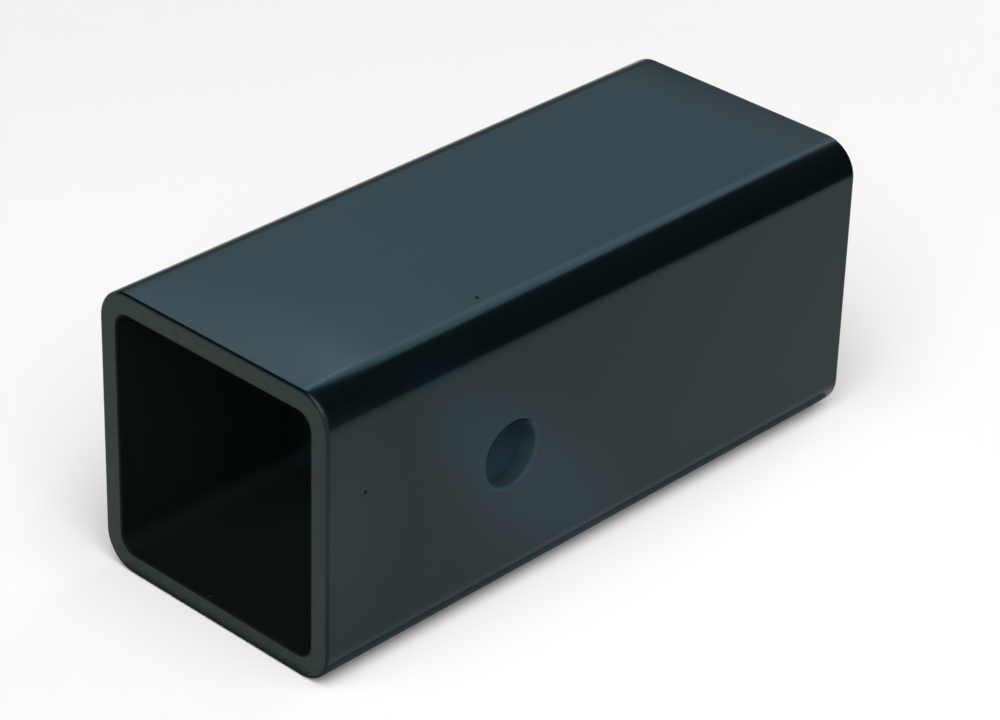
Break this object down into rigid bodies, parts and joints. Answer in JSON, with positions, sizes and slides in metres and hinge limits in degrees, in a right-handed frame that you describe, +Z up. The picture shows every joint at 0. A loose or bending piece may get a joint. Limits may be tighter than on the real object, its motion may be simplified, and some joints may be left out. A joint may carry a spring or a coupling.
{
  "type": "hitch reducer sleeve",
  "caption": "Short square steel tube with a cross pin hole, which lets a smaller square hitch shank fit a larger receiver.",
  "frame": {"origin": "where the axis of the pin hole crosses the axis of the tube", "axes": "+X along the tube, from the end nearer the pin hole to the far end; +Y along the pin hole, away from the side that the picture shows; +Z up"},
  "size_m": [0.181, 0.0762, 0.0762],
  "materials": {
    "black_powder_coat": "satin black powder coat over rolled steel"
  },
  "bodies": {
    "root": {"sleeve": "black_powder_coat"}
  },
  "joints": []
}
